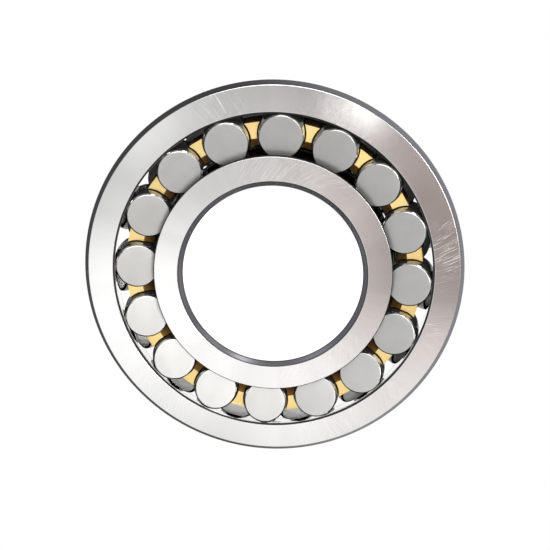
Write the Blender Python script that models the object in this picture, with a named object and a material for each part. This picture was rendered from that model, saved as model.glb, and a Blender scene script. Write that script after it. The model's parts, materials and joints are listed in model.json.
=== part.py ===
"""A double-row spherical roller bearing, lying flat.

Two rows of barrel rollers run between an inner ring with two raceways and an outer ring whose one
raceway is part of a sphere, so the inner parts can tilt inside the outer ring. A one-piece brass
cage with prongs on both sides spaces the rollers, and a loose steel ring guides their inner ends.

The bearing's axis is Z and the origin is the centre of the spherical raceway. Sections are worked
out as (radius, height) points for the front row, which is the upper one, and mirrored for the back.
"""

import math

import bmesh
import bpy
from mathutils import Matrix

# Boundary dimensions, in metres
OUTSIDE_DIAMETER = 0.200
BORE_DIAMETER = 0.095
WIDTH = 0.067
RING_CHAMFER = 0.0026

# Outer ring
MOUTH_DIAMETER = 0.1687
MOUTH_CHAMFER = 0.0009
GROOVE_WIDTH = 0.0111
GROOVE_DEPTH = 0.0016
GROOVE_SLOPE = 0.0012
OIL_HOLE_COUNT = 3
OIL_HOLE_DIAMETER = 0.006

# Rollers
ROLLERS_PER_ROW = 16
ROLLER_DIAMETER = 0.0248
ROLLER_LENGTH = 0.0246
ROLLER_CHAMFER = 0.0007
BARREL_SHARE = 0.97
CONTACT_ANGLE = math.radians(13.5)
FIRST_ROLLER_ANGLE = math.radians(86.6)

# Inner ring
RIB_DIAMETER = 0.1257
RIB_CHAMFER = 0.0005

# Cage and guide ring
POCKET_CLEARANCE = 0.0003
TIP_HEIGHT = 0.0237
TIP_OUTER_RADIUS = 0.0796
TIP_INNER_RADIUS = 0.0715
TIP_SLOPE_WIDTH = 0.0039
TIP_SLOPE_HEIGHT = 0.008
WEB_OUTER_RADIUS = 0.0822
WEB_INNER_RADIUS = 0.0762
WEB_HALF_WIDTH = 0.008
PRONG_ROOT_GAP = 0.001
GUIDE_OUTER_RADIUS = 0.0756
GUIDE_CHAMFER = 0.0005

# Clearances and mesh fineness
RUNNING_GAP = 0.0003
END_GAP = 0.0003
LAND_GAP = 0.0004
RING_STEPS = 64
ROLLER_STEPS = 16
OIL_HOLE_STEPS = 12
RACEWAY_STEPS = 8
INNER_RACEWAY_STEPS = 5
BARREL_STEPS = 3
CUTTER_REACH = 0.015

# Worked out from the dimensions above
HALF_WIDTH = WIDTH / 2
OUTER_RADIUS = OUTSIDE_DIAMETER / 2
BORE_RADIUS = BORE_DIAMETER / 2
MOUTH_RADIUS = MOUTH_DIAMETER / 2
RIB_RADIUS = RIB_DIAMETER / 2
SPHERE_RADIUS = math.hypot(MOUTH_RADIUS - MOUTH_CHAMFER, HALF_WIDTH - MOUTH_CHAMFER)
ROLLER_RADIUS = ROLLER_DIAMETER / 2
ROLLER_HALF = ROLLER_LENGTH / 2
BARREL_RADIUS = BARREL_SHARE * SPHERE_RADIUS
CENTRE_DISTANCE = SPHERE_RADIUS - ROLLER_RADIUS - RUNNING_GAP
PITCH_RADIUS = CENTRE_DISTANCE * math.cos(CONTACT_ANGLE)
PITCH_HEIGHT = CENTRE_DISTANCE * math.sin(CONTACT_ANGLE)


def barrel_radius(along):
    """The roller's radius at a distance along its axis from its middle."""
    return ROLLER_RADIUS - BARREL_RADIUS + math.sqrt(BARREL_RADIUS**2 - along**2)


def beside_roller(along, across):
    """The (radius, height) of a point given along and across a front roller's axis."""
    radius = PITCH_RADIUS - along * math.sin(CONTACT_ANGLE) + across * math.cos(CONTACT_ANGLE)
    height = PITCH_HEIGHT + along * math.cos(CONTACT_ANGLE) + across * math.sin(CONTACT_ANGLE)
    return radius, height


def end_plane_height(along, radius):
    """The height at a radius of the plane square to a front roller's axis."""
    plane_radius, plane_height = beside_roller(along, 0.0)
    return plane_height + (radius - plane_radius) * math.tan(CONTACT_ANGLE)


def spread(low, high, steps):
    """Evenly spaced values from low to high, both included."""
    return [low + (high - low) * step / steps for step in range(steps + 1)]


def mirrored(upper_half):
    """A closed outline from the points of its upper half, listed from the top down."""
    lower_half = [(radius, -height) for radius, height in reversed(upper_half)]
    return upper_half + lower_half


def metal(name, colour, roughness):
    """A bare metal material."""
    material = bpy.data.materials.new(name)
    material.use_nodes = True
    shader = material.node_tree.nodes["Principled BSDF"]
    shader.inputs["Base Color"].default_value = (*colour, 1.0)
    shader.inputs["Metallic"].default_value = 1.0
    shader.inputs["Roughness"].default_value = roughness
    return material


def turned_mesh(name, outline, steps, ring=True):
    """A mesh turned about Z from (radius, height) points; ring joins the last point to the first."""
    shape = bmesh.new()
    corners = [shape.verts.new((radius, 0.0, height)) for radius, height in outline]
    nexts = corners[1:] + corners[:1] if ring else corners[1:]
    edges = [shape.edges.new(pair) for pair in zip(corners, nexts)]
    bmesh.ops.spin(
        shape,
        geom=corners + edges,
        cent=(0.0, 0.0, 0.0),
        axis=(0.0, 0.0, 1.0),
        angle=2 * math.pi,
        steps=steps,
    )
    bmesh.ops.remove_doubles(shape, verts=shape.verts, dist=1e-6)
    bmesh.ops.recalc_face_normals(shape, faces=shape.faces)
    mesh = bpy.data.meshes.new(name)
    shape.to_mesh(mesh)
    shape.free()
    mesh.shade_smooth()
    mesh.set_sharp_from_angle(angle=math.radians(30))
    return mesh


def add_object(name, mesh, material=None):
    """A new object of a mesh, in the scene."""
    made = bpy.data.objects.new(name, mesh)
    bpy.context.scene.collection.objects.link(made)
    if material and not mesh.materials:
        mesh.materials.append(material)
    return made


def add_cutter(name, cylinders, steps):
    """One hidden object of closed cylinders, each given as (matrix, radius, length)."""
    shape = bmesh.new()
    for matrix, radius, length in cylinders:
        bmesh.ops.create_cone(
            shape,
            cap_ends=True,
            segments=steps,
            radius1=radius,
            radius2=radius,
            depth=length,
            matrix=matrix,
        )
    bmesh.ops.recalc_face_normals(shape, faces=shape.faces)
    mesh = bpy.data.meshes.new(name)
    shape.to_mesh(mesh)
    shape.free()
    cutter = add_object(name, mesh)
    cutter.hide_render = True
    cutter.display_type = "WIRE"
    return cutter


def cut(target, cutter):
    """Takes the cutter's shape out of the target."""
    boolean = target.modifiers.new(cutter.name, "BOOLEAN")
    boolean.operation = "DIFFERENCE"
    boolean.solver = "EXACT"
    boolean.object = cutter


def roller_matrix(row_side, angle, along=0.0):
    """Where a roller lies: row_side is 1 for the front row and -1 for the back row."""
    turn = Matrix.Rotation(angle, 4, "Z")
    place = Matrix.Translation((PITCH_RADIUS, 0.0, row_side * PITCH_HEIGHT))
    lean = Matrix.Rotation(-row_side * CONTACT_ANGLE, 4, "Y")
    slide = Matrix.Translation((0.0, 0.0, row_side * along))
    return turn @ place @ lean @ slide


def roller_angles(row_side):
    """The rollers' angles round the bearing, clockwise from above; the back row is staggered."""
    pitch = 2 * math.pi / ROLLERS_PER_ROW
    stagger = 0.0 if row_side > 0 else pitch / 2
    return [FIRST_ROLLER_ANGLE - stagger - pitch * count for count in range(ROLLERS_PER_ROW)]


def make_outer_ring():
    """The outer ring: spherical raceway, oil groove round the outside and holes through it."""
    edge_angle = math.asin((HALF_WIDTH - MOUTH_CHAMFER) / SPHERE_RADIUS)
    raceway = [
        (SPHERE_RADIUS * math.cos(angle), SPHERE_RADIUS * math.sin(angle))
        for angle in spread(-edge_angle, edge_angle, RACEWAY_STEPS)
    ]
    outside = [
        (MOUTH_RADIUS, HALF_WIDTH),
        (OUTER_RADIUS - RING_CHAMFER, HALF_WIDTH),
        (OUTER_RADIUS, HALF_WIDTH - RING_CHAMFER),
        (OUTER_RADIUS, GROOVE_WIDTH / 2),
        (OUTER_RADIUS - GROOVE_DEPTH, GROOVE_WIDTH / 2 - GROOVE_SLOPE),
    ]
    steel = metal("outer_ring", (0.62, 0.61, 0.60), 0.28)
    mesh = turned_mesh("outer_ring", mirrored(outside) + raceway, RING_STEPS)
    outer_ring = add_object("outer_ring", mesh, steel)
    wall_middle = (SPHERE_RADIUS + OUTER_RADIUS) / 2
    holes = []
    for count in range(OIL_HOLE_COUNT):
        turn = Matrix.Rotation(2 * math.pi * (count + 0.25) / OIL_HOLE_COUNT, 4, "Z")
        place = Matrix.Translation((wall_middle, 0.0, 0.0)) @ Matrix.Rotation(math.pi / 2, 4, "Y")
        holes.append((turn @ place, OIL_HOLE_DIAMETER / 2, CUTTER_REACH * 2))
    cut(outer_ring, add_cutter("oil_holes", holes, OIL_HOLE_STEPS))


def make_inner_ring():
    """The inner ring: two raceways that meet at a middle land, and a rib at each side."""
    shoulder = ROLLER_HALF + END_GAP
    arc_radius = BARREL_RADIUS + RUNNING_GAP
    raceway = []
    for along in spread(shoulder, -ROLLER_HALF, INNER_RACEWAY_STEPS):
        across = BARREL_RADIUS - ROLLER_RADIUS - math.sqrt(arc_radius**2 - along**2)
        raceway.append(beside_roller(along, across))
    upper_half = [
        (BORE_RADIUS, HALF_WIDTH - RING_CHAMFER),
        (BORE_RADIUS + RING_CHAMFER, HALF_WIDTH),
        (RIB_RADIUS - RIB_CHAMFER, HALF_WIDTH),
        (RIB_RADIUS, HALF_WIDTH - RIB_CHAMFER),
        (RIB_RADIUS, end_plane_height(shoulder, RIB_RADIUS)),
        *raceway,
    ]
    steel = metal("inner_ring", (0.60, 0.59, 0.58), 0.26)
    add_object("inner_ring", turned_mesh("inner_ring", mirrored(upper_half), RING_STEPS), steel)


def make_guide_ring():
    """The loose ring between the rows, with its faces along the rollers' inner ends."""
    face = -ROLLER_HALF - END_GAP
    bore_radius = beside_roller(-ROLLER_HALF, -barrel_radius(ROLLER_HALF))[0] + LAND_GAP
    upper_half = [
        (GUIDE_OUTER_RADIUS, end_plane_height(face, GUIDE_OUTER_RADIUS) - GUIDE_CHAMFER),
        (
            GUIDE_OUTER_RADIUS - GUIDE_CHAMFER,
            end_plane_height(face, GUIDE_OUTER_RADIUS - GUIDE_CHAMFER),
        ),
        (bore_radius, end_plane_height(face, bore_radius)),
    ]
    outline = mirrored(upper_half[::-1])
    steel = metal("guide_ring", (0.45, 0.44, 0.43), 0.40)
    add_object("guide_ring", turned_mesh("guide_ring", outline, RING_STEPS), steel)


def make_cage():
    """The brass cage: a middle web, and prongs left standing between drilled pockets."""
    face = -ROLLER_HALF - END_GAP
    prong_radius = TIP_INNER_RADIUS - TIP_SLOPE_WIDTH
    upper_half = [
        (WEB_INNER_RADIUS, end_plane_height(face, WEB_INNER_RADIUS) + PRONG_ROOT_GAP),
        (prong_radius, end_plane_height(face, prong_radius) + PRONG_ROOT_GAP),
        (prong_radius, TIP_HEIGHT - TIP_SLOPE_HEIGHT),
        (TIP_INNER_RADIUS, TIP_HEIGHT),
        (TIP_OUTER_RADIUS, TIP_HEIGHT),
        (WEB_OUTER_RADIUS, WEB_HALF_WIDTH),
    ]
    brass = metal("cage", (0.80, 0.58, 0.28), 0.32)
    cage = add_object("cage", turned_mesh("cage", mirrored(upper_half), RING_STEPS), brass)
    length = ROLLER_LENGTH + CUTTER_REACH
    middle = (CUTTER_REACH - 2 * END_GAP) / 2
    radius = (ROLLER_RADIUS + POCKET_CLEARANCE) / math.cos(math.pi / ROLLER_STEPS)
    pockets = [
        (roller_matrix(row_side, angle, middle), radius, length)
        for row_side in (1, -1)
        for angle in roller_angles(row_side)
    ]
    cut(cage, add_cutter("pockets", pockets, ROLLER_STEPS))


def make_rollers():
    """Both rows of rollers, each with its origin at its middle and its own Z along its axis."""
    barrel_half = ROLLER_HALF - ROLLER_CHAMFER
    flat_radius = barrel_radius(barrel_half) - ROLLER_CHAMFER
    outline = [(0.0, -ROLLER_HALF), (flat_radius, -ROLLER_HALF)]
    for along in spread(-barrel_half, barrel_half, BARREL_STEPS):
        outline.append((barrel_radius(along), along))
    outline += [(flat_radius, ROLLER_HALF), (0.0, ROLLER_HALF)]
    mesh = turned_mesh("roller", outline, ROLLER_STEPS, ring=False)
    steel = metal("roller", (0.58, 0.57, 0.56), 0.22)
    for row_name, row_side in (("front", 1), ("back", -1)):
        for count, angle in enumerate(roller_angles(row_side), start=1):
            roller = add_object(f"{row_name}_roller_{count:02d}", mesh, steel)
            roller.matrix_world = roller_matrix(row_side, angle)


def main():
    for old in list(bpy.data.objects):
        bpy.data.objects.remove(old, do_unlink=True)
    make_outer_ring()
    make_inner_ring()
    make_guide_ring()
    make_cage()
    make_rollers()


main()
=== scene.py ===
"""Fine pieces, finishes and studio for a spherical roller bearing, built around its fixed frame.

Every piece is turned about an axis. A section is drawn point by point at Y = 0, with X as the
radius and Z as the height, then spun into a solid. The bearing's axis is Z and its middle is the
origin. Sizes come from the frame's own nodes and joints. The edges' small sizes, the metals'
colours and the studio are settings that the add-on's panel shows.
"""

import json
import math
import random
from collections import namedtuple

import bmesh
import bpy
from mathutils import Matrix, Vector


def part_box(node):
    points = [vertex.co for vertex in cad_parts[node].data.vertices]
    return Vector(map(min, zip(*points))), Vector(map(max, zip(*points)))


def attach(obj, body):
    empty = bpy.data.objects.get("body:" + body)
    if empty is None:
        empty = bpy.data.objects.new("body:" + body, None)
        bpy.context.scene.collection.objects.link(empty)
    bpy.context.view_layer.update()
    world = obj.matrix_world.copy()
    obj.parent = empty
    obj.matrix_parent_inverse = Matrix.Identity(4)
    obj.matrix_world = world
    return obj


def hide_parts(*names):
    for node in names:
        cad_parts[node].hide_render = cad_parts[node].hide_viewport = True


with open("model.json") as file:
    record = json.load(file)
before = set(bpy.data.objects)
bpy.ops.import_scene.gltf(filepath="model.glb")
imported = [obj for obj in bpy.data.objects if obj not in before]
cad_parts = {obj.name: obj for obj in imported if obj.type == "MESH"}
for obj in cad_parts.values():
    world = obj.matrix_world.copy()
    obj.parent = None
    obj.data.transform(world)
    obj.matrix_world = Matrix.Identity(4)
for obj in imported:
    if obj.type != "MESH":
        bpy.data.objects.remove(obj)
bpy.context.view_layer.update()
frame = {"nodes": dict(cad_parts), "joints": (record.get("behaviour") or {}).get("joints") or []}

bl_info = {
    "name": "Spherical Roller Bearing",
    "version": (1, 0, 0),
    "blender": (4, 5, 0),
    "location": "View3D > Sidebar > Bearing",
    "description": "Builds a bearing's fine rings, cage and rollers with ground steel and brass",
    "category": "Add Mesh",
}

SAME_PLACE = 2e-5
MERGE_DISTANCE = 1e-6
SEED_SIZE = 0.001
SMOOTH_ANGLE = math.radians(32)
FULL_TURN = 2 * math.pi
ROLLER_SEED = 23


# ---------------------------------------------------------------- sizes read from the frame


def points_of(node):
    """A frame node's points as (radius, height) pairs about the bearing's axis."""
    mesh = frame["nodes"][node].data
    return [(math.hypot(point.co.x, point.co.y), point.co.z) for point in mesh.vertices]


def radii(node, height=None):
    """The smallest and largest radius of a node's points, at one height if it is given."""
    found = [r for r, z in points_of(node) if height is None or abs(z - height) < SAME_PLACE]
    return min(found), max(found)


def heights(node, radius):
    """The heights of a node's points at a radius, from the lowest to the highest."""
    found = sorted(z for r, z in points_of(node) if abs(r - radius) < SAME_PLACE)
    return [z for z, after in zip(found, found[1:] + [math.inf]) if after - z > SAME_PLACE]


def roller_joints():
    """Each roller's name with the middle and the direction of its axis."""
    turning = [joint for joint in frame["joints"] if joint["name"].endswith("_spin")]
    return {joint["child"]: (Vector(joint["pos_m"]), Vector(joint["axis"])) for joint in turning}


HALF_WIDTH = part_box("outer_ring")[1].z
OUTER_RADIUS = radii("outer_ring")[1]
MOUTH_RADIUS, OUTER_FACE_RADIUS = radii("outer_ring", HALF_WIDTH)
RACEWAY_EDGE_RADIUS = radii("outer_ring")[0]
RACEWAY_EDGE_HEIGHT = heights("outer_ring", RACEWAY_EDGE_RADIUS)[-1]
SPHERE_RADIUS = math.hypot(RACEWAY_EDGE_RADIUS, RACEWAY_EDGE_HEIGHT)
GROOVE_HALF_WIDTH, OUTSIDE_HALF_WIDTH = heights("outer_ring", OUTER_RADIUS)[-2:]
BORE_RADIUS = radii("inner_ring")[0]
BORE_HALF_WIDTH = heights("inner_ring", BORE_RADIUS)[-1]
BORE_FACE_RADIUS, RIB_FACE_RADIUS = radii("inner_ring", HALF_WIDTH)
RIB_RADIUS = max(r for r, z in points_of("inner_ring") if z > BORE_HALF_WIDTH + SAME_PLACE)
ROLLERS = roller_joints()
FIRST_ROLLER = "front_roller_01"
ROLLER_MIDDLE, ROLLER_AXIS = ROLLERS[FIRST_ROLLER]
PITCH_RADIUS = math.hypot(ROLLER_MIDDLE.x, ROLLER_MIDDLE.y)
PITCH_HEIGHT = ROLLER_MIDDLE.z
CONTACT_ANGLE = math.acos(ROLLER_AXIS.z)
TIP_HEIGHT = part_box("cage")[1].z
TIP_INNER_RADIUS, TIP_OUTER_RADIUS = radii("cage", TIP_HEIGHT)
WEB_OUTER_RADIUS = radii("cage")[1]
WEB_HALF_WIDTH = heights("cage", WEB_OUTER_RADIUS)[-1]
GUIDE_BORE_RADIUS, GUIDE_OUTER_RADIUS = radii("guide_ring")
ROLLER_HALF = max(
    (point.co - ROLLER_MIDDLE).dot(ROLLER_AXIS)
    for point in frame["nodes"][FIRST_ROLLER].data.vertices
)
RUNNING_GAP = 0.0003
ROLLER_RADIUS = SPHERE_RADIUS - math.hypot(PITCH_RADIUS, PITCH_HEIGHT) - RUNNING_GAP


# ---------------------------------------------------------------- settings


class BearingSizes(bpy.types.PropertyGroup):
    """The small sizes that the frame leaves plain."""

    ring_steps: bpy.props.IntProperty(
        name="Ring steps", description="Flats round each ring", default=256, min=64, max=512
    )
    roller_steps: bpy.props.IntProperty(
        name="Roller steps", description="Flats round each roller", default=64, min=24, max=128
    )
    edge_rounding: bpy.props.FloatProperty(
        name="Edge rounding",
        description="How far the rounding of the rings' chamfer edges reaches",
        default=0.00022,
        unit="LENGTH",
    )
    groove_depth: bpy.props.FloatProperty(
        name="Groove depth",
        description="Depth of the oil groove round the outer ring",
        default=0.0016,
        unit="LENGTH",
    )
    groove_slope: bpy.props.FloatProperty(
        name="Groove slope",
        description="Width of each sloping side of the oil groove",
        default=0.0012,
        unit="LENGTH",
    )
    oil_hole_radius: bpy.props.FloatProperty(
        name="Oil hole radius",
        description="Radius of the three holes through the oil groove",
        default=0.003,
        unit="LENGTH",
    )
    barrel_share: bpy.props.FloatProperty(
        name="Barrel share",
        description="Radius of the rollers' barrel profile as a share of the raceway's sphere",
        default=0.97,
    )
    roller_chamfer: bpy.props.FloatProperty(
        name="Roller chamfer",
        description="Size of the chamfer at the rollers' ends",
        default=0.0007,
        unit="LENGTH",
    )
    relief_depth: bpy.props.FloatProperty(
        name="Relief depth",
        description="Depth of the grinding relief at the foot of each rib",
        default=0.0005,
        unit="LENGTH",
    )
    guide_clearance: bpy.props.FloatProperty(
        name="Guide clearance",
        description="Gap between the guide ring and the cage's web",
        default=0.0006,
        unit="LENGTH",
    )
    prong_root_gap: bpy.props.FloatProperty(
        name="Prong root gap",
        description="Gap between the guide ring's faces and the prongs",
        default=0.001,
        unit="LENGTH",
    )
    tip_slope_width: bpy.props.FloatProperty(
        name="Tip slope width",
        description="How far the slope at each prong's tip cuts in towards the roller",
        default=0.0039,
        unit="LENGTH",
    )
    tip_slope_height: bpy.props.FloatProperty(
        name="Tip slope height",
        description="Height of the slope at each prong's tip",
        default=0.008,
        unit="LENGTH",
    )
    cage_edge: bpy.props.FloatProperty(
        name="Cage edge",
        description="Width of the broken edges of the cage's prongs",
        default=0.00028,
        unit="LENGTH",
    )


class BearingColours(bpy.types.PropertyGroup):
    """The metals' colours."""

    steel: bpy.props.FloatVectorProperty(
        name="Ring steel", description="Ground ring steel", subtype="COLOR", size=3,
        default=(0.68, 0.677, 0.672), min=0.0, max=1.0,
    )
    chamfer: bpy.props.FloatVectorProperty(
        name="Turned edges", description="Turned chamfers", subtype="COLOR", size=3,
        default=(0.21, 0.21, 0.23), min=0.0, max=1.0,
    )
    # Colour of the dark on turned edges: partly hardening skin, partly painted dark reflection and
    # shade.
    skin_and_painted_dark: bpy.props.FloatVectorProperty(
        name="Skin and painted dark", description="Dark of the turned edges: hardening skin and painted dark reflection",
        subtype="COLOR", size=3, default=(0.035, 0.0345, 0.037), min=0.0, max=1.0,
    )
    roller: bpy.props.FloatVectorProperty(
        name="Roller steel", description="Satin ground roller ends", subtype="COLOR", size=3,
        default=(0.485, 0.486, 0.474), min=0.0, max=1.0,
    )
    brass: bpy.props.FloatVectorProperty(
        name="Brass", description="Machined cage brass", subtype="COLOR", size=3,
        default=(0.89, 0.69, 0.31), min=0.0, max=1.0,
    )
    iron: bpy.props.FloatVectorProperty(
        name="Guide ring iron", description="Turned grey iron", subtype="COLOR", size=3,
        default=(0.30, 0.29, 0.28), min=0.0, max=1.0,
    )


class BearingStudio(bpy.types.PropertyGroup):
    """The camera and the lights."""

    camera_distance: bpy.props.FloatProperty(
        name="Camera distance", description="From the bearing's middle", default=0.406,
        unit="LENGTH",
    )
    camera_tilt: bpy.props.FloatProperty(
        name="Camera tilt", description="Angle from the bearing's axis",
        default=math.radians(14.34), subtype="ANGLE",
    )
    camera_heading: bpy.props.FloatProperty(
        name="Camera heading", description="Direction of the tilt, from +Y towards +X",
        default=math.radians(11.47), subtype="ANGLE",
    )
    camera_shift_down: bpy.props.FloatProperty(
        name="Camera shift down", description="How far the camera stands below its aim",
        default=0.00699, unit="LENGTH",
    )
    camera_shift_left: bpy.props.FloatProperty(
        name="Camera shift left", description="How far the camera stands left of its aim",
        default=0.0002, unit="LENGTH",
    )
    lens: bpy.props.FloatProperty(
        name="Lens", description="Focal length in millimetres", default=46.7,
    )
    dome_glow: bpy.props.FloatProperty(
        name="Dome glow", description="Strength of the dome overhead", default=0.06,
    )
    horizon_glow: bpy.props.FloatProperty(
        name="Horizon glow", description="Strength of the dome low down", default=0.5,
    )


def sizes():
    return bpy.context.scene.bearing_sizes


def colours():
    return bpy.context.scene.bearing_colours


def studio():
    return bpy.context.scene.bearing_studio


# ---------------------------------------------------------------- modelling

# Steps in the rounded corners, in the arcs of the raceways and barrels, and round the drill
ROUNDING_STEPS = 3
SPHERE_STEPS = 20
TRACK_STEPS = 16
BARREL_STEPS = 10
DRILL_STEPS = 32
OIL_HOLES = 3
FIRST_OIL_HOLE = math.radians(30)
# How far the cutting tools reach past what they cut
DRILL_OVERRUN = 0.01
POCKET_OVERRUN = 0.015
POCKET_EXTRA_RADIUS = 0.00005
# How far from the rib the relief meets the raceway, and where its floor lies, in relief depths
RELIEF_WIDTH = 2.5
RELIEF_FLOOR = 0.6
# Faces this nearly in one plane are joined, and edges sharper than the other angle are broken
FLAT_ANGLE = math.radians(0.2)
SHARP_ANGLE = math.radians(40)


def deselect_all():
    """Leaves edit mode and selects nothing."""
    if bpy.context.mode != "OBJECT":
        bpy.ops.object.mode_set(mode="OBJECT")
    bpy.ops.object.select_all(action="DESELECT")


def work_on(piece):
    """Makes a piece the only selected and active object."""
    deselect_all()
    piece.select_set(True)
    bpy.context.view_layer.objects.active = piece


def apply_modifier(piece, kind, **settings):
    """Adds a modifier with these settings and applies it."""
    work_on(piece)
    modifier = piece.modifiers.new(kind.title(), kind)
    for name, value in settings.items():
        setattr(modifier, name, value)
    bpy.ops.object.modifier_apply(modifier=modifier.name)


class Section:
    """A turned piece's section, drawn point by point in edit mode at Y = 0."""

    def __init__(self, name, radius, height):
        deselect_all()
        bpy.ops.mesh.primitive_plane_add(size=SEED_SIZE)
        self.piece = bpy.context.object
        self.piece.name = name
        bpy.ops.object.mode_set(mode="EDIT")
        bpy.ops.mesh.select_mode(type="VERT")
        bpy.ops.mesh.select_all(action="SELECT")
        bpy.ops.mesh.merge(type="CENTER")
        bpy.ops.transform.translate(value=(radius, 0.0, height))
        self.radius, self.height = radius, height
        self.roundings = {}

    def line_to(self, radius, height, rounding=0.0):
        """A straight edge to a point, whose corner is rounded when the section is turned."""
        move = (radius - self.radius, 0.0, height - self.height)
        bpy.ops.mesh.extrude_region_move(TRANSFORM_OT_translate={"value": move})
        self.radius, self.height = radius, height
        if rounding:
            self.roundings.setdefault(rounding, []).append(Vector((radius, 0.0, height)))

    def arc_round(self, centre_radius, centre_height, sweep, steps):
        """An arc from the last point about a centre, anticlockwise where the sweep is positive."""
        centre = (centre_radius, 0.0, centre_height)
        bpy.ops.mesh.spin(steps=steps, angle=sweep, center=centre, axis=(0.0, 1.0, 0.0))
        across, up = self.radius - centre_radius, self.height - centre_height
        self.radius = centre_radius + across * math.cos(sweep) - up * math.sin(sweep)
        self.height = centre_height + across * math.sin(sweep) + up * math.cos(sweep)

    def round_corners(self):
        """Bevels the corners that asked for it, each rounding at its own size."""
        for rounding, corners in self.roundings.items():
            shape = bmesh.from_edit_mesh(self.piece.data)
            for vertex in shape.verts:
                vertex.select = any((vertex.co - corner).length < SAME_PLACE for corner in corners)
            shape.select_flush_mode()
            bmesh.update_edit_mesh(self.piece.data)
            bpy.ops.mesh.bevel(offset=rounding, segments=ROUNDING_STEPS, affect="VERTICES")

    def turned(self, steps, mirror=True):
        """Spins the section about Z, mirrors it below the middle if it is half of one, and closes it."""
        self.round_corners()
        bpy.ops.mesh.select_all(action="SELECT")
        bpy.ops.mesh.spin(steps=steps, angle=FULL_TURN, center=(0, 0, 0), axis=(0, 0, 1))
        bpy.ops.mesh.select_all(action="SELECT")
        bpy.ops.mesh.remove_doubles(threshold=MERGE_DISTANCE)
        bpy.ops.object.mode_set(mode="OBJECT")
        if mirror:
            apply_modifier(
                self.piece,
                "MIRROR",
                use_axis=(False, False, True),
                use_mirror_merge=True,
                merge_threshold=MERGE_DISTANCE,
            )
        face_outwards(self.piece)
        return self.piece


def face_outwards(piece):
    """Recalculates a closed piece's normals so that they point out of it."""
    work_on(piece)
    bpy.ops.object.mode_set(mode="EDIT")
    bpy.ops.mesh.select_all(action="SELECT")
    bpy.ops.mesh.normals_make_consistent(inside=False)
    bpy.ops.object.mode_set(mode="OBJECT")


def smooth(piece):
    """Smooth round faces, crisp edges, and flat faces that stay flat beside a rounded edge."""
    work_on(piece)
    bpy.ops.object.shade_smooth_by_angle(angle=SMOOTH_ANGLE)
    apply_modifier(piece, "WEIGHTED_NORMAL", weight=80, keep_sharp=True)


def finish_piece(piece, node, material):
    """Gives a piece its finish, and puts it in the place of a node of the frame."""
    piece.data.materials.clear()
    piece.data.materials.append(material)
    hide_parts(node)
    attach(piece, node)


def beside_roller(along, across):
    """The radius and height of a point given along and across a front roller's axis."""
    radius = PITCH_RADIUS - along * math.sin(CONTACT_ANGLE) + across * math.cos(CONTACT_ANGLE)
    height = PITCH_HEIGHT + along * math.cos(CONTACT_ANGLE) + across * math.sin(CONTACT_ANGLE)
    return radius, height


def end_plane_height(along, radius):
    """The height at a radius of the plane square to a front roller's axis."""
    plane_radius, plane_height = beside_roller(along, 0.0)
    return plane_height + (radius - plane_radius) * math.tan(CONTACT_ANGLE)


def barrel_profile():
    """The radius of the long arc that a barrel's side follows."""
    return sizes().barrel_share * SPHERE_RADIUS


def barrel_radius(along):
    """A roller's radius at a distance along its axis from its middle."""
    profile = barrel_profile()
    return ROLLER_RADIUS - profile + math.sqrt(profile**2 - along**2)


def roller_matrix(name):
    """Turns a roller modelled upright at the origin to where the frame has it."""
    middle, axis = ROLLERS[name]
    tilt = Vector((0, 0, 1)).rotation_difference(axis)
    return Matrix.Translation(middle) @ tilt.to_matrix().to_4x4()


# ---------------------------------------------------------------- shader building

# Bands in which one finish turns into another, each from its nearest to its furthest distance
FACE_BAND = (0.00002, 0.00008)  # from any flat or round outer face
SPHERE_BAND = (0.00004, 0.0001)  # from the outer ring's raceway
GROOVE_BAND = (0.0, 0.001)  # from the edge of the oil groove to the dark skin and painted shade
MOUTH_BAND = (0.002, 0.004)  # from the mouth to where the dark may be thinned as a painted lighter reflection
TRACK_BAND = (0.008, 0.0085)  # from the bore to the inner ring's raceways
RIB_BAND = (0.0055, 0.0058)  # from the side face, over the rib, to the raceway
RIB_SKIN_AND_SHADE_BAND = (0.0, 0.0002)  # from the side face's outer edge to the rib's dark skin and painted shade
BORE_EDGE_DARK_BAND = (0.0005, 0.0011)  # from the middle of the bore's chamfer to its darkened edges
BARREL_BAND = (0.0007, 0.0009)  # from a roller's end, over its chamfer, to its barrel
RIM_HIGHLIGHT_BAND = (0.0012, 0.0035)  # from a roller's outside to the painted highlight at the rim of its end
SLOPE_SIDE_BAND = (0.0001, 0.0004)  # from the tips inwards to their slopes
SLOPE_FOOT_BAND = (0.0075, 0.009)  # from the tips down to the foot of the slopes
RECESS_SHADE_BAND = (0.0005, 0.009)  # from the tips down to the darkest painted shade
# How the grinding arcs change with the radius, against how they change round it
ARC_STRETCH = 0.25
# How far the arcs of each ring swing round it, in radians for each metre of radius
OUTER_ARC_SWEEP = -3.6
INNER_ARC_SWEEP = 16.0
CROSS_SWEEP_SHARE = -1.6


class Wire:
    """A socket's output. Arithmetic on it adds Math nodes."""

    def __init__(self, finish, socket):
        self.finish = finish
        self.socket = socket

    def math(self, operation, *values):
        """Adds one Math node and returns its result."""
        inputs = dict(enumerate(values))
        return self.finish.node("ShaderNodeMath", {"operation": operation}, inputs)

    def __add__(self, other):
        return self.math("ADD", self, other)

    __radd__ = __add__

    def __sub__(self, other):
        return self.math("SUBTRACT", self, other)

    def __rsub__(self, other):
        return self.math("SUBTRACT", other, self)

    def __mul__(self, other):
        return self.math("MULTIPLY", self, other)

    __rmul__ = __mul__

    def __truediv__(self, other):
        return self.math("DIVIDE", self, other)

    def __rtruediv__(self, other):
        return self.math("DIVIDE", other, self)

    def __pow__(self, power):
        return self.math("POWER", self, power)

    def __abs__(self):
        return self.math("ABSOLUTE", self)


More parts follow.
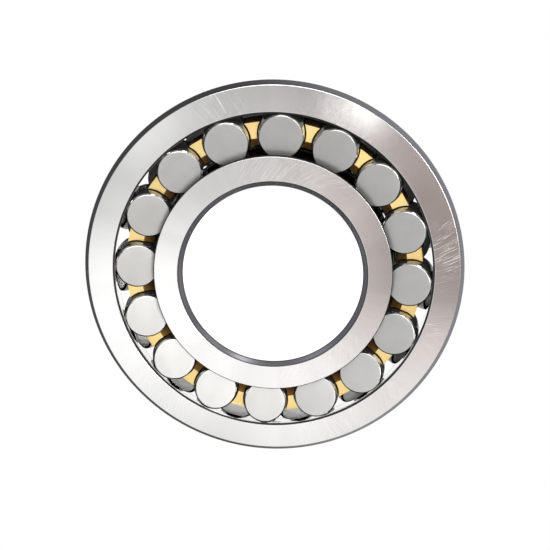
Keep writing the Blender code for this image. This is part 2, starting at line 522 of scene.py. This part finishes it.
class Finish:
    """A node tree being filled: a material's, or the world's."""

    def __init__(self, tree):
        self.tree = tree

    def node(self, kind, settings=None, inputs=None, output=0):
        """Adds a node, sets it up, feeds its sockets and returns one of its outputs."""
        made = self.tree.nodes.new(kind)
        for name, value in (settings or {}).items():
            setattr(made, name, value)
        for name, value in (inputs or {}).items():
            self.feed(self.socket(made.inputs, name), value)
        return Wire(self, self.socket(made.outputs, output))

    @staticmethod
    def socket(sockets, name):
        """A socket by its number, its name, or the identifier that tells like names apart."""
        if isinstance(name, int):
            return sockets[name]
        by_identifier = [socket for socket in sockets if socket.identifier == name]
        return by_identifier[0] if by_identifier else sockets[name]

    def feed(self, socket, value):
        """Links a wire to a socket, or sets a constant on it."""
        if isinstance(value, Wire):
            self.tree.links.new(value.socket, socket)
        else:
            socket.default_value = value

    def place(self, attribute=None):
        """The point on the surface: the object's own coordinates, or a stored attribute."""
        if attribute:
            return self.node("ShaderNodeAttribute", {"attribute_name": attribute}, output="Vector")
        return self.node("ShaderNodeTexCoord", output="Object")

    def split(self, vector):
        """The three parts of a vector."""
        made = self.tree.nodes.new("ShaderNodeSeparateXYZ")
        self.feed(made.inputs[0], vector)
        return [Wire(self, socket) for socket in made.outputs]

    def join(self, x, y, z):
        """A vector from its three parts."""
        return self.node("ShaderNodeCombineXYZ", inputs={0: x, 1: y, 2: z})

    def turned(self, vector, angle):
        """A vector turned about Z."""
        settings = {"rotation_type": "Z_AXIS"}
        return self.node("ShaderNodeVectorRotate", settings, {"Vector": vector, "Angle": angle})

    def noise(self, vector, scale, detail=2.0, roughness=0.5):
        """Smooth noise from 0 to 1, whose grain is finer as the scale grows."""
        inputs = {"Vector": vector, "Scale": scale, "Detail": detail, "Roughness": roughness}
        return self.node("ShaderNodeTexNoise", None, inputs, output="Fac")

    def between(self, value, low, high, to_low=0.0, to_high=1.0):
        """Moves smoothly from to_low to to_high as a value goes from low to high."""
        settings = {"interpolation_type": "SMOOTHSTEP"}
        inputs = {"Value": value, "From Min": low, "From Max": high}
        inputs.update({"To Min": to_low, "To Max": to_high})
        return self.node("ShaderNodeMapRange", settings, inputs)

    def nearing(self, value, limit, band=FACE_BAND):
        """Rises from 0 to 1 over a band as a value comes up to a limit."""
        near, far = band
        return self.between(value, limit - far, limit - near)

    def leaving(self, value, limit, band=FACE_BAND):
        """Rises from 0 to 1 over a band as a value goes up from a limit."""
        near, far = band
        return self.between(value, limit + near, limit + far)

    def blend(self, factor, first, second):
        """Mixes two colours."""
        settings = {"data_type": "RGBA", "clamp_factor": True}
        inputs = {"Factor": factor, "A_Color": first, "B_Color": second}
        return self.node("ShaderNodeMix", settings, inputs, output="Result_Color")

    def bump(self, height, distance, strength):
        """Turns a height map into a normal."""
        inputs = {"Height": height, "Distance": distance, "Strength": strength}
        return self.node("ShaderNodeBump", None, inputs)


def new_metal(name, **constants):
    """A metal material, its tree, and its shader with these constant values."""
    material = bpy.data.materials.new(name)
    material.use_nodes = True
    shader = material.node_tree.nodes["Principled BSDF"]
    shader.inputs["Metallic"].default_value = 1.0
    for socket, value in constants.items():
        shader.inputs[socket.replace("_", " ")].default_value = value
    return material, Finish(material.node_tree), shader


def tinted(colour, *shares):
    """A colour with each of its channels at its own share."""
    return (*(channel * share for channel, share in zip(colour, shares)), 1.0)


def rgba(colour, share=1.0):
    """A colour made darker or brighter by one share."""
    return tinted(colour, share, share, share)


def hypot(across, up):
    """The distance from the origin of a point given by two wires."""
    return (across * across + up * up) ** 0.5


def grinding_arcs(finish, around, radius, sweep, fineness):
    """Arcs left on a side face by a wheel that crosses it while the ring turns.

    A point on the unit circle is swung about the axis by an amount that grows with the radius,
    which straightens the arcs, and the noise is then drawn out along each of them.
    """
    swung = finish.turned(around, radius * sweep)
    x, y, z = finish.split(swung)
    return finish.noise(finish.join(x, y, radius * ARC_STRETCH), fineness, roughness=0.6)


def ring_finish(name, masks, sweep):
    """Ground ring steel: streaked side faces with painted glints, turned edges with a dark skin
    and painted dark reflection, polished raceways.

    masks gives how much a point is of each. sweep is how far the grinding arcs swing.
    """
    material, finish, shader = new_metal(name, Specular_IOR_Level=0.0)
    place = finish.place()
    x, y, z = finish.split(place)
    radius = hypot(x, y)
    around = finish.join(x / radius, y / radius, 0.0)
    face, chamfer, raceway, skin = masks(finish, place)

    main_arcs = grinding_arcs(finish, around, radius, sweep, 330.0)
    cross_arcs = grinding_arcs(finish, around, radius, CROSS_SWEEP_SHARE * sweep, 210.0)
    turning = finish.noise(finish.join(radius, 0.0, z), scale=2600.0)
    sectors = finish.noise(around, scale=2.4, detail=3.0, roughness=0.6)
    cloud = finish.noise(place, scale=38.0, detail=3.0)
    patch = finish.between(finish.noise(place, scale=24.0, detail=1.0), 0.48, 0.63)
    faint = finish.between(finish.noise(place, scale=15.0, detail=1.0), 0.42, 0.7)
    nicks = finish.between(finish.noise(place, scale=420.0, detail=1.0), 0.79, 0.8) * chamfer

    glint_painted_arcs = finish.between(main_arcs, 0.55, 0.7) * patch * face
    dark_arcs = finish.between(cross_arcs, 0.56, 0.72) * faint * face
    steel, edge = colours().steel, colours().chamfer
    tone = finish.blend(finish.between(sectors, 0.3, 0.7), rgba(steel, 0.93), rgba(steel, 1.05))
    scored = finish.blend(dark_arcs * 0.5, tone, rgba(steel, 0.8))
    # Painted glints: in random patches the grinding arcs are painted brighter than the steel.
    ground = finish.blend(glint_painted_arcs * 0.8, scored, rgba(steel, 1.35))
    turned = finish.blend(turning, rgba(edge, 0.45), rgba(edge, 1.5))
    # The dark colour on turned edges stands for a hardening skin and for painted dark reflection and
    # shade.
    turned = finish.blend(skin, turned, rgba(colours().skin_and_painted_dark))
    colour = finish.blend(chamfer, ground, turned)
    colour = finish.blend(nicks, colour, rgba(steel))
    finish.feed(shader.inputs["Base Color"], colour)

    rough = 0.09 + glint_painted_arcs * 0.15 + face * main_arcs * 0.05 + face * cloud * 0.04
    rough = rough + (1 - face) * turning * 0.04 + chamfer * 0.16 - raceway * 0.08
    finish.feed(shader.inputs["Roughness"], rough)
    finish.feed(shader.inputs["Metallic"], 1 - chamfer * skin * 0.65)

    scores = face * (main_arcs + cross_arcs * 0.6) * (0.35 + patch)
    lines = (1 - face) * turning * (1 - raceway * 0.8)
    finish.feed(shader.inputs["Normal"], finish.bump(scores + lines, 0.00002, 0.5))
    return material


def outer_ring_masks(finish, place):
    """Side face, turned edge, raceway and dark skin of the outer ring, the dark being partly
    hardening skin and partly painted dark reflection and shade.

    The dark is thinned on the outer chamfer towards +X, as a painted lighter reflection
    on that side.
    """
    x, y, z = finish.split(place)
    radius = hypot(x, y)
    high = abs(z)
    face = finish.nearing(high, HALF_WIDTH)
    outside = finish.nearing(radius, OUTER_RADIUS)
    raceway = 1 - finish.leaving(hypot(radius, z), SPHERE_RADIUS, SPHERE_BAND)
    turned = (1 - face) * (1 - outside) * (1 - raceway)
    edges = finish.leaving(high, GROOVE_HALF_WIDTH, GROOVE_BAND)
    # Painted lighter reflection: the dark on the outer chamfer fades towards +X.
    painted_lighter_side = finish.between(x / radius, -0.3, 0.6, 0.0, 0.7)
    painted_lighter_side = painted_lighter_side * finish.leaving(radius, MOUTH_RADIUS, MOUTH_BAND)
    return face, turned, raceway, turned * edges * (1 - painted_lighter_side)


def inner_ring_masks(finish, place):
    """Side face, turned edge, raceway and dark edges of the inner ring.

    The dark lies on the ribs' outsides, as hardening skin and painted shade, and darkens both
    edges of the bore's chamfer.
    """
    x, y, z = finish.split(place)
    radius = hypot(x, y)
    high = abs(z)
    face = finish.nearing(high, HALF_WIDTH)
    bore = 1 - finish.leaving(radius, BORE_RADIUS)
    track = finish.leaving(radius, BORE_RADIUS, TRACK_BAND)
    raceway = track * (1 - finish.nearing(high, HALF_WIDTH, RIB_BAND))
    turned = (1 - face) * (1 - bore) * (1 - raceway)
    chamfer_middle = (BORE_RADIUS + BORE_FACE_RADIUS) / 2
    bore_edges = finish.leaving(abs(radius - chamfer_middle), 0.0, BORE_EDGE_DARK_BAND) * 0.85
    # Painted shade: the rib's outside takes the dark colour, so that it and its reflection in the roller
    # ends look dark.
    rib = finish.nearing(radius, RIB_FACE_RADIUS, RIB_SKIN_AND_SHADE_BAND)
    return face, turned, raceway, bore_edges * (1 - track) + rib


def roller_finish():
    """Roller steel: satin ends with faint rings and a painted highlight near their rims, bright
    chamfers, and a smooth barrel painted dark as shade.
    """
    material, finish, shader = new_metal("roller_steel", Specular_IOR_Level=0.0)
    local = finish.place("turned_place")
    x, y, z = finish.split(local)
    radius = hypot(x, y)
    end = finish.nearing(abs(z), ROLLER_HALF)
    barrel = 1 - finish.nearing(abs(z), ROLLER_HALF, BARREL_BAND)
    own = finish.node("ShaderNodeAttribute", {"attribute_name": "own_tone"}, output="Fac")

    rings = finish.noise(finish.join(radius, own, 0.0), scale=3200.0)
    grain = finish.noise(local, scale=900.0, detail=3.0, roughness=0.6)
    cloud = finish.noise(finish.join(x + own, y, z), scale=110.0)
    rim = finish.nearing(radius, ROLLER_RADIUS, RIM_HIGHLIGHT_BAND)

    steel = colours().roller
    shade = finish.between(cloud, 0.3, 0.7, 0.0, 0.5) + own * 0.4
    flat = finish.blend(shade, rgba(steel), rgba(steel, 0.88))
    # Painted highlight: the end is painted brighter towards its rim.
    colour = finish.blend(end * rim * 0.25, flat, rgba(steel, 1.12))
    # Painted shade: the barrel between the rings and the cage is painted near black, and less metallic.
    colour = finish.blend(barrel, colour, rgba(steel, 0.14))
    finish.feed(shader.inputs["Base Color"], colour)

    finish.feed(shader.inputs["Metallic"], 1 - barrel * 0.5)
    rough = 0.09 + end * (0.24 + grain * 0.06 + rings * 0.05)
    finish.feed(shader.inputs["Roughness"], rough)
    relief = end * (rings * 0.5 + grain * 0.5)
    finish.feed(shader.inputs["Normal"], finish.bump(relief, 0.000015, 0.5))
    return material


def brass_finish():
    """Machined brass: clean tips, and painted shade off them: brown on the slopes inside the tips,
    and near black on the bored walls.
    """
    material, finish, shader = new_metal("cage_brass", Specular_IOR_Level=0.0)
    place = finish.place()
    x, y, z = finish.split(place)
    radius = hypot(x, y)
    high = abs(z)
    tip = finish.nearing(high, TIP_HEIGHT)
    inside = 1 - finish.nearing(radius, TIP_INNER_RADIUS, SLOPE_SIDE_BAND)
    slope = inside * finish.nearing(high, TIP_HEIGHT, SLOPE_FOOT_BAND)

    turning = finish.noise(finish.join(radius, 0.0, z), scale=2400.0)
    boring = finish.noise(finish.join(0.0, 0.0, z), scale=2200.0)
    cloud = finish.noise(place, scale=60.0, detail=3.0)
    speck = finish.noise(place, scale=700.0, detail=3.0, roughness=0.6)

    brass = colours().brass
    tone = finish.between(cloud, 0.3, 0.72, 0.0, 0.6)
    clean = finish.blend(tone, rgba(brass), tinted(brass, 0.9, 0.82, 0.7))
    # Painted shade with random specks: brass off the tips is painted darker, the slopes less so.
    speckled_shade = 0.5 + finish.between(speck, 0.45, 0.7) * 0.4
    shade_off_tips = (1 - tip) * speckled_shade * (1 - slope * 0.7)
    shaded_brass = finish.blend(shade_off_tips, clean, tinted(brass, 0.5, 0.36, 0.24))
    # Painted shade: surfaces off the tips and slopes are painted near black, a little darker further
    # down.
    oil = 0.97 - finish.nearing(high, TIP_HEIGHT, RECESS_SHADE_BAND) * 0.04
    oil = oil * (1 - tip) * (1 - slope)
    colour = finish.blend(oil, shaded_brass, tinted(brass, 0.16, 0.11, 0.12))
    # Painted shade: the slopes inside the tips are painted brown.
    painted_slope_shade = slope * (1 - tip)
    colour = finish.blend(painted_slope_shade, colour, tinted(brass, 0.6, 0.4, 0.25))
    finish.feed(shader.inputs["Base Color"], colour)

    finish.feed(shader.inputs["Metallic"], 1 - oil * 0.8 - painted_slope_shade * 0.6)
    rough = 0.27 + turning * 0.08 - tip * 0.04 + cloud * 0.05
    finish.feed(shader.inputs["Roughness"], rough)
    relief = tip * turning + (1 - tip) * (boring * 0.7 + turning * 0.3)
    finish.feed(shader.inputs["Normal"], finish.bump(relief, 0.00003, 0.6))
    return material


def iron_finish():
    """Turned grey iron, with open pores."""
    material, finish, shader = new_metal("guide_ring_iron")
    place = finish.place()
    x, y, z = finish.split(place)
    turning = finish.noise(finish.join(hypot(x, y), 0.0, z), scale=1800.0)
    pores = finish.noise(place, scale=2600.0)
    iron = colours().iron
    colour = finish.blend(finish.between(pores, 0.55, 0.7), rgba(iron), rgba(iron, 0.6))
    finish.feed(shader.inputs["Base Color"], colour)
    finish.feed(shader.inputs["Roughness"], 0.42 + turning * 0.15)
    relief = turning - finish.between(pores, 0.6, 0.7) * 0.5
    finish.feed(shader.inputs["Normal"], finish.bump(relief, 0.00003, 0.7))
    return material


# ---------------------------------------------------------------- pieces


class BEARING_OT_outer_ring(bpy.types.Operator):
    """Turns the outer ring and drills the oil holes"""

    bl_idname = "bearing.outer_ring"
    bl_label = "Outer Ring"

    def execute(self, context):
        edge = sizes().edge_rounding
        groove_radius = OUTER_RADIUS - sizes().groove_depth
        groove_floor = GROOVE_HALF_WIDTH - sizes().groove_slope
        section = Section("outer_ring_turned", groove_radius, 0.0)
        section.line_to(groove_radius, groove_floor, edge * 2)
        section.line_to(OUTER_RADIUS, GROOVE_HALF_WIDTH, edge)
        section.line_to(OUTER_RADIUS, OUTSIDE_HALF_WIDTH, edge * 2)
        section.line_to(OUTER_FACE_RADIUS, HALF_WIDTH, edge)
        section.line_to(MOUTH_RADIUS, HALF_WIDTH, edge)
        section.line_to(RACEWAY_EDGE_RADIUS, RACEWAY_EDGE_HEIGHT)
        sweep = -math.asin(RACEWAY_EDGE_HEIGHT / SPHERE_RADIUS)
        section.arc_round(0.0, 0.0, sweep, SPHERE_STEPS)
        ring = section.turned(sizes().ring_steps)
        self.drill(ring)
        smooth(ring)
        steel = ring_finish("outer_ring_steel", outer_ring_masks, OUTER_ARC_SWEEP)
        finish_piece(ring, "outer_ring", steel)
        return {"FINISHED"}

    def drill(self, ring):
        """Holes from the oil groove to the raceway, where the frame has them."""
        wall_middle = (SPHERE_RADIUS + OUTER_RADIUS) / 2
        for count in range(OIL_HOLES):
            heading = FIRST_OIL_HOLE + FULL_TURN * count / OIL_HOLES
            deselect_all()
            bpy.ops.mesh.primitive_cylinder_add(
                vertices=DRILL_STEPS,
                radius=sizes().oil_hole_radius,
                depth=OUTER_RADIUS - SPHERE_RADIUS + DRILL_OVERRUN,
                location=(wall_middle * math.cos(heading), wall_middle * math.sin(heading), 0.0),
                rotation=(0.0, math.pi / 2, heading),
            )
            drill = bpy.context.object
            apply_modifier(ring, "BOOLEAN", operation="DIFFERENCE", object=drill)
            bpy.data.objects.remove(drill)


class BEARING_OT_inner_ring(bpy.types.Operator):
    """Turns the inner ring with its ribs, raceways and middle land"""

    bl_idname = "bearing.inner_ring"
    bl_label = "Inner Ring"

    def execute(self, context):
        edge = sizes().edge_rounding
        section = Section("inner_ring_turned", BORE_RADIUS, 0.0)
        section.line_to(BORE_RADIUS, BORE_HALF_WIDTH, edge)
        section.line_to(BORE_FACE_RADIUS, HALF_WIDTH, edge)
        section.line_to(RIB_FACE_RADIUS, HALF_WIDTH, edge / 2)
        section.line_to(RIB_RADIUS, HALF_WIDTH - RIB_RADIUS + RIB_FACE_RADIUS, edge / 2)
        section.line_to(RIB_RADIUS, end_plane_height(ROLLER_HALF + RUNNING_GAP, RIB_RADIUS), edge)
        self.raceway(section)
        section.line_to(section.radius, 0.0)
        ring = section.turned(sizes().ring_steps)
        smooth(ring)
        steel = ring_finish("inner_ring_steel", inner_ring_masks, INNER_ARC_SWEEP)
        finish_piece(ring, "inner_ring", steel)
        return {"FINISHED"}

    def raceway(self, section):
        """The relief at the foot of the rib, then the hollow that the rollers' barrels run in."""
        relief = sizes().relief_depth
        shoulder = ROLLER_HALF + RUNNING_GAP
        below_end = -barrel_radius(ROLLER_HALF) - RUNNING_GAP
        section.line_to(*beside_roller(shoulder, below_end + relief))
        floor = beside_roller(shoulder - RELIEF_FLOOR * relief, below_end - relief)
        section.line_to(*floor, relief / 2)

        centre = barrel_profile() - ROLLER_RADIUS
        hollow = barrel_profile() + RUNNING_GAP
        start = shoulder - RELIEF_WIDTH * relief
        section.line_to(*beside_roller(start, centre - math.sqrt(hollow**2 - start**2)))
        sweep = math.asin(start / hollow) + math.asin(ROLLER_HALF / hollow)
        section.arc_round(*beside_roller(0.0, centre), sweep, TRACK_STEPS)


class BEARING_OT_guide_ring(bpy.types.Operator):
    """Turns the loose guide ring that lies between the rows"""

    bl_idname = "bearing.guide_ring"
    bl_label = "Guide Ring"

    def execute(self, context):
        edge = sizes().edge_rounding
        face = -ROLLER_HALF - RUNNING_GAP
        section = Section("guide_ring_turned", GUIDE_BORE_RADIUS, 0.0)
        inner_height = end_plane_height(face, GUIDE_BORE_RADIUS)
        outer_height = end_plane_height(face, GUIDE_OUTER_RADIUS)
        section.line_to(GUIDE_BORE_RADIUS, inner_height, edge * 2)
        section.line_to(GUIDE_OUTER_RADIUS, outer_height, edge * 2)
        section.line_to(GUIDE_OUTER_RADIUS, 0.0)
        ring = section.turned(sizes().ring_steps)
        smooth(ring)
        finish_piece(ring, "guide_ring", iron_finish())
        return {"FINISHED"}


class BEARING_OT_cage(bpy.types.Operator):
    """Turns the cage's blank and bores a pocket for every roller"""

    bl_idname = "bearing.cage"
    bl_label = "Cage"

    def execute(self, context):
        cage = self.blank()
        pockets = self.pockets()
        apply_modifier(cage, "BOOLEAN", operation="DIFFERENCE", object=pockets)
        bpy.data.objects.remove(pockets)
        self.break_edges(cage)
        smooth(cage)
        finish_piece(cage, "cage", brass_finish())
        return {"FINISHED"}

    def blank(self):
        """The turned brass ring that the pockets are bored in."""
        face = -ROLLER_HALF - RUNNING_GAP
        root_gap = sizes().prong_root_gap
        web_inner = GUIDE_OUTER_RADIUS + sizes().guide_clearance
        prong_radius = TIP_INNER_RADIUS - sizes().tip_slope_width
        section = Section("cage_machined", web_inner, 0.0)
        section.line_to(web_inner, end_plane_height(face, web_inner) + root_gap)
        section.line_to(prong_radius, end_plane_height(face, prong_radius) + root_gap)
        section.line_to(prong_radius, TIP_HEIGHT - sizes().tip_slope_height)
        section.line_to(TIP_INNER_RADIUS, TIP_HEIGHT)
        section.line_to(TIP_OUTER_RADIUS, TIP_HEIGHT)
        section.line_to(WEB_OUTER_RADIUS, WEB_HALF_WIDTH)
        section.line_to(WEB_OUTER_RADIUS, 0.0)
        return section.turned(sizes().ring_steps)

    def pockets(self):
        """One object of all the boring tools, each along its roller from behind its inner end."""
        deselect_all()
        tools = []
        for name in ROLLERS:
            side = 1 if name.startswith("front") else -1
            bpy.ops.mesh.primitive_cylinder_add(
                vertices=sizes().roller_steps,
                radius=ROLLER_RADIUS + RUNNING_GAP + POCKET_EXTRA_RADIUS,
                depth=2 * ROLLER_HALF + POCKET_OVERRUN,
            )
            tool = bpy.context.object
            shift = Matrix.Translation((0.0, 0.0, side * (POCKET_OVERRUN / 2 - RUNNING_GAP)))
            tool.data.transform(roller_matrix(name) @ shift)
            tools.append(tool)
        for tool in tools:
            tool.select_set(True)
        bpy.ops.object.join()
        return bpy.context.object

    def break_edges(self, cage):
        """Joins the flat faces that the cuts left in pieces, and breaks every sharp edge."""
        work_on(cage)
        bpy.ops.object.mode_set(mode="EDIT")
        bpy.ops.mesh.select_all(action="SELECT")
        bpy.ops.mesh.remove_doubles(threshold=MERGE_DISTANCE * 5)
        bpy.ops.mesh.dissolve_limited(angle_limit=FLAT_ANGLE)
        bpy.ops.object.mode_set(mode="OBJECT")
        apply_modifier(
            cage,
            "BEVEL",
            width=sizes().cage_edge,
            segments=2,
            limit_method="ANGLE",
            angle_limit=SHARP_ANGLE,
            use_clamp_overlap=True,
        )


class BEARING_OT_rollers(bpy.types.Operator):
    """Turns one barrel roller and sets a copy of it in every pocket"""

    bl_idname = "bearing.rollers"
    bl_label = "Rollers"

    def execute(self, context):
        pattern = self.pattern()
        steel = roller_finish()
        chance = random.Random(ROLLER_SEED)
        for name in ROLLERS:
            roller = pattern.copy()
            roller.name = name + "_turned"
            roller.data = pattern.data.copy()
            context.scene.collection.objects.link(roller)
            self.set_tone(roller, chance.random())
            spin = Matrix.Rotation(chance.uniform(0.0, FULL_TURN), 4, "Z")
            roller.data.transform(roller_matrix(name) @ spin)
            finish_piece(roller, name, steel)
        bpy.data.objects.remove(pattern)
        return {"FINISHED"}

    def pattern(self):
        """A roller that stands upright at the origin."""
        chamfer = sizes().roller_chamfer
        profile = barrel_profile()
        barrel_half = ROLLER_HALF - chamfer
        flat_radius = barrel_radius(barrel_half) - chamfer
        section = Section("roller_pattern", ROLLER_RADIUS, 0.0)
        sweep = math.asin(barrel_half / profile)
        section.arc_round(ROLLER_RADIUS - profile, 0.0, sweep, BARREL_STEPS)
        section.line_to(flat_radius, ROLLER_HALF, chamfer / 3)
        section.line_to(flat_radius * 0.5, ROLLER_HALF)
        section.line_to(0.0, ROLLER_HALF)
        roller = section.turned(sizes().roller_steps)
        smooth(roller)
        places = roller.data.attributes.new("turned_place", "FLOAT_VECTOR", "POINT")
        for stored, vertex in zip(places.data, roller.data.vertices):
            stored.vector = vertex.co
        return roller

    def set_tone(self, roller, tone):
        """Stores one number all over the roller, which its finish varies by."""
        stored = roller.data.attributes.new("own_tone", "FLOAT", "POINT")
        stored.data.foreach_set("value", [tone] * len(roller.data.vertices))


# ---------------------------------------------------------------- studio

# A soft round lamp in the dome: its slopes towards +X and +Y, its strength, its radius in
# degrees, and how much warmer than white it is
Lamp = namedtuple("Lamp", "across up strength spread warmth", defaults=(0.0,))

# Two strong lamps for the rollers' satin ends
END_LAMPS = (Lamp(0.03, 0.59, 5.8, 26.6), Lamp(0.50, 0.08, 9.6, 15.7))
# Lamps high in the dome, which the side faces reflect
FACE_LAMPS = (
    Lamp(0.15, -0.58, 0.95, 16.7),
    Lamp(-0.25, -0.43, 0.8, 17.5),
    Lamp(-0.22, -0.16, 0.72, 22.0),
    Lamp(0.072, -0.016, 5.0, 1.6),
    Lamp(-0.235, -0.035, 0.6, 4.0),
    Lamp(0.20, -0.20, 0.32, 21.0, 0.24),
)
# Lamps further down, for the chamfers
CHAMFER_LAMPS = (Lamp(1.34, -0.32, 0.5, 33.4, 0.05), Lamp(0.96, 2.37, 5.0, 9.0))
# Low lamps all round, for the outside
LOW_PLACES = ((3.2, 2.8), (-3.0, -2.0), (1.5, -4.0), (-2.6, 3.4))
LOW_LAMPS = tuple(Lamp(across, up, 0.7, 18.0) for across, up in LOW_PLACES)
LAMPS = END_LAMPS + FACE_LAMPS + CHAMFER_LAMPS + LOW_LAMPS

# How warm the dome is, and how much more warmth takes out of blue than out of green
DOME_WARMTH = 0.02
BLUE_LOSS = 1.25
# The part of a lamp's radius that is at full strength
LAMP_CORE = 0.3
STAGE_STEPS = 96
FLOOR_RADIUS = 6.0
WALL_RADIUS = 5.9
WALL_HEIGHT = 12.0
REFLECTED_FLOOR_DEPTH = 0.001
# How far from the axis the reflected floor changes, and how bright it is at each place
UNDER_BORE, BESIDE_RING, FAR_FLOOR = 0.085, 0.11, 0.4
BORE_GLOW, RING_GLOW, FAR_GLOW = 1.4, 0.28, 0.98
FILM_WIDTH = 36.0


def glowing(name, shade=0.0):
    """A matt material that gives off white light, and reflects as much as its shade."""
    material = bpy.data.materials.new(name)
    material.use_nodes = True
    shader = material.node_tree.nodes["Principled BSDF"]
    shader.inputs["Base Color"].default_value = (shade, shade, shade, 1.0)
    shader.inputs["Roughness"].default_value = 1.0
    shader.inputs["Specular IOR Level"].default_value = 0.0
    shader.inputs["Emission Color"].default_value = (1.0, 1.0, 1.0, 1.0)
    shader.inputs["Emission Strength"].default_value = 1.0
    return material


class BEARING_OT_stage(bpy.types.Operator):
    """Sets the floor, the soft lights and the camera"""

    bl_idname = "bearing.stage"
    bl_label = "Stage"

    def execute(self, context):
        self.floor()
        self.backdrop()
        self.sky()
        self.camera()
        context.scene.view_settings.view_transform = "Standard"
        return {"FINISHED"}

    def disc(self, name, depth, material):
        """A wide disc this far under the bearing."""
        deselect_all()
        bpy.ops.mesh.primitive_circle_add(
            vertices=STAGE_STEPS,
            radius=FLOOR_RADIUS,
            fill_type="NGON",
            location=(0.0, 0.0, -HALF_WIDTH - depth),
        )
        made = bpy.context.object
        made.name = name
        made.data.materials.append(material)
        return made

    def floor(self):
        """A white floor for the camera, and under it the greyer one that the steel reflects."""
        seen = self.disc("floor", 0.0, glowing("floor_white"))
        self.only_camera(seen)
        grey = self.reflected_floor()
        reflected = self.disc("floor_reflected", REFLECTED_FLOOR_DEPTH, grey)
        reflected.visible_camera = False

    def reflected_floor(self):
        """Bright under the bore, grey beside the bearing as a painted contact shadow, and paler again
        further off.
        """
        material = glowing("floor_grey", 0.3)
        finish = Finish(material.node_tree)
        x, y, z = finish.split(finish.place())
        radius = hypot(x, y)
        # Painted contact shadow: the glow dips beside the bearing.
        near_glow = finish.between(radius, UNDER_BORE, BESIDE_RING, BORE_GLOW, RING_GLOW)
        added_glow = finish.between(radius, BESIDE_RING, FAR_FLOOR, 0.0, FAR_GLOW - RING_GLOW)
        glow = near_glow + added_glow
        channels = {"Red": glow, "Green": glow, "Blue": glow}
        shade = finish.node("ShaderNodeCombineColor", inputs=channels)
        shader = material.node_tree.nodes["Principled BSDF"]
        finish.feed(shader.inputs["Emission Color"], shade)
        return material

    def only_camera(self, thing):
        """Hides a thing from everything but the camera."""
        for ray in ("diffuse", "glossy", "transmission", "shadow", "volume_scatter"):
            setattr(thing, "visible_" + ray, False)

    def sky(self):
        """A dim dome with soft round lamps in it, which are what the steel reflects."""
        world = bpy.data.worlds.new("studio_dome")
        world.use_nodes = True
        bpy.context.scene.world = world
        finish = Finish(world.node_tree)
        direction = finish.node("ShaderNodeTexCoord", output="Generated")
        height = finish.split(direction)[2]
        settings = studio()
        light = finish.between(height, 0.6, 0.88, settings.horizon_glow, settings.dome_glow)
        warm = light * DOME_WARMTH
        for lamp in LAMPS:
            centre = Vector((lamp.across, lamp.up, 1.0)).normalized()
            inputs = {0: direction, 1: centre}
            near = finish.node("ShaderNodeVectorMath", {"operation": "DOT_PRODUCT"}, inputs, "Value")
            spread = math.radians(lamp.spread)
            rim, core = math.cos(spread), math.cos(LAMP_CORE * spread)
            glow = finish.between(near, rim, core, 0.0, lamp.strength)
            light = light + glow
            warm = warm + glow * lamp.warmth
        channels = {"Red": light, "Green": light - warm, "Blue": light - warm * BLUE_LOSS}
        colour = finish.node("ShaderNodeCombineColor", inputs=channels)
        finish.feed(world.node_tree.nodes["Background"].inputs["Color"], colour)

    def backdrop(self):
        """A pale wall far behind everything, which only the camera sees."""
        deselect_all()
        bpy.ops.mesh.primitive_cylinder_add(
            vertices=STAGE_STEPS,
            radius=WALL_RADIUS,
            depth=WALL_HEIGHT,
            end_fill_type="NOTHING",
        )
        wall = bpy.context.object
        wall.name = "backdrop"
        wall.data.materials.append(glowing("backdrop_white"))
        self.only_camera(wall)

    def camera(self):
        """A camera over the front face, tilted, and shifted so that it aims beside the middle."""
        settings = studio()
        tilt, heading = settings.camera_tilt, settings.camera_heading
        back = Vector(
            (
                math.sin(tilt) * math.sin(heading),
                math.sin(tilt) * math.cos(heading),
                math.cos(tilt),
            )
        )
        right = Vector((0.0, 1.0, 0.0)).cross(back).normalized()
        up = back.cross(right)
        camera_data = bpy.data.cameras.new("camera")
        camera_data.lens = settings.lens
        camera_data.sensor_width = FILM_WIDTH
        camera = bpy.data.objects.new("camera", camera_data)
        bpy.context.scene.collection.objects.link(camera)
        turn = Matrix((right, up, back)).transposed().to_4x4()
        place = back * settings.camera_distance
        place -= up * settings.camera_shift_down + right * settings.camera_shift_left
        camera.matrix_world = Matrix.Translation(place) @ turn
        bpy.context.scene.camera = camera


class BEARING_PT_panel(bpy.types.Panel):
    """The bearing's pieces and settings"""

    bl_label = "Spherical Roller Bearing"
    bl_idname = "BEARING_PT_panel"
    bl_space_type = "VIEW_3D"
    bl_region_type = "UI"
    bl_category = "Bearing"

    def draw(self, context):
        layout = self.layout
        for operator in OPERATORS:
            layout.operator(operator.bl_idname)
        for settings in (sizes(), colours(), studio()):
            box = layout.box()
            for name in settings.__annotations__:
                box.prop(settings, name)


OPERATORS = (
    BEARING_OT_stage,
    BEARING_OT_outer_ring,
    BEARING_OT_inner_ring,
    BEARING_OT_guide_ring,
    BEARING_OT_cage,
    BEARING_OT_rollers,
)
CLASSES = (BearingSizes, BearingColours, BearingStudio, *OPERATORS, BEARING_PT_panel)


def register():
    for made in CLASSES:
        bpy.utils.register_class(made)
    bpy.types.Scene.bearing_sizes = bpy.props.PointerProperty(type=BearingSizes)
    bpy.types.Scene.bearing_colours = bpy.props.PointerProperty(type=BearingColours)
    bpy.types.Scene.bearing_studio = bpy.props.PointerProperty(type=BearingStudio)


def unregister():
    del bpy.types.Scene.bearing_sizes
    del bpy.types.Scene.bearing_colours
    del bpy.types.Scene.bearing_studio
    for made in reversed(CLASSES):
        bpy.utils.unregister_class(made)


def main():
    register()
    bpy.ops.bearing.stage()
    bpy.ops.bearing.outer_ring()
    bpy.ops.bearing.inner_ring()
    bpy.ops.bearing.guide_ring()
    bpy.ops.bearing.cage()
    bpy.ops.bearing.rollers()
    deselect_all()


if __name__ == "__main__":
    main()
